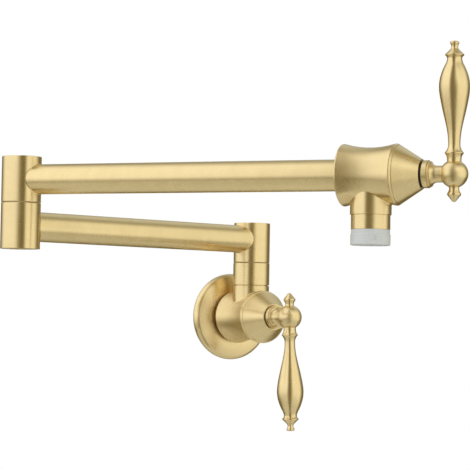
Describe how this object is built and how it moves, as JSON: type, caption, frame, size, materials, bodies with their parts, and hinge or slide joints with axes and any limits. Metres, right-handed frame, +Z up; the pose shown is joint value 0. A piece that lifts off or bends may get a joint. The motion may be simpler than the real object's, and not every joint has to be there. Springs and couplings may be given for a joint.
{
  "type": "wall mounted pot filler",
  "caption": "Wall mounted pot filler tap: a lever valve at the wall, a folding swivel arm and, at its end, another lever valve with a short aerated spout.",
  "frame": {"origin": "on the inlet's axis, in the middle of the wall flange's back face, on the wall's surface", "axes": "+Y into the wall, +Z up, +X to the right for a person facing the wall; the tap stands out to -Y"},
  "size_m": [0.2808, 0.3808, 0.2763],
  "materials": {
    "gold": "satin, brushed gold PVD colour",
    "raw_brass": "machined",
    "steel": "machined",
    "rubber": "matt black",
    "seal": "matt dark grey",
    "foam": "matt closed cell foam",
    "ceramic": "lapped ceramic",
    "acetal": "smooth white acetal",
    "slip": "bronze filled low friction plastic, satin brown",
    "aerator": "translucent milky plastic"
  },
  "bodies": {
    "wall_fitting": {"wall_flange": "gold", "wall_gasket": "foam", "flange_seal": "seal", "inlet_connector": "raw_brass", "wall_valve_body": "gold", "swivel_nut": "gold", "swivel_washers": "acetal", "wall_bonnet": "gold", "wall_cartridge": "raw_brass", "wall_cartridge_seal": "seal", "wall_seat_seal": "seal", "wall_fixed_disc": "ceramic"},
    "wall_handle": {"wall_moving_disc": "ceramic", "wall_stem": "raw_brass", "wall_stem_seal": "seal", "wall_handle_seal": "rubber", "wall_handle_hub": "gold", "wall_set_screw": "steel", "wall_lever": "gold", "wall_finial": "gold"},
    "lower_arm": {"swivel_spindle": "steel", "swivel_o_rings": "seal", "swivel_slip_ring": "slip", "wall_hub": "gold", "wall_hub_cap": "gold", "lower_arm_tube": "gold", "lower_elbow_hub": "gold", "elbow_bottom_cap": "gold"},
    "upper_arm": {"elbow_spindle": "steel", "elbow_o_rings": "seal", "elbow_clip": "steel", "elbow_slip_ring": "slip", "upper_elbow_hub": "gold", "elbow_top_cap": "gold", "upper_arm_tube": "gold", "outlet_valve_body": "gold", "spout_ring": "gold", "spout_washer": "seal", "aerator_housing": "aerator", "aerator_insert": "aerator", "aerator_screen": "aerator", "outlet_bonnet": "gold", "outlet_cartridge": "raw_brass", "outlet_cartridge_seal": "seal", "outlet_seat_seal": "seal", "outlet_fixed_disc": "ceramic"},
    "outlet_handle": {"outlet_moving_disc": "ceramic", "outlet_stem": "raw_brass", "outlet_stem_seal": "seal", "outlet_handle_seal": "rubber", "outlet_handle_hub": "gold", "outlet_set_screw": "steel", "outlet_lever": "gold", "outlet_finial": "gold"}
  },
  "joints": [
    {"name": "wall_swivel", "type": "hinge", "parent": "wall_fitting", "child": "lower_arm", "pos_m": [0, -0.035, 0.05], "axis": [0, 0, 1], "range_deg": [-12.4, 167.6]},
    {"name": "elbow_swivel", "type": "hinge", "parent": "lower_arm", "child": "upper_arm", "pos_m": [-0.23098, -0.08578, 0.08], "axis": [0, 0, 1], "continuous": true},
    {"name": "wall_handle_turn", "type": "hinge", "parent": "wall_fitting", "child": "wall_handle", "pos_m": [0, -0.035, 0], "axis": [0, -1, 0], "range_deg": [0, 90]},
    {"name": "outlet_handle_turn", "type": "hinge", "parent": "upper_arm", "child": "outlet_handle", "pos_m": [-0.0714, -0.30543, 0.0969], "axis": [0.5878, -0.809, 0], "range_deg": [0, 90]}
  ]
}
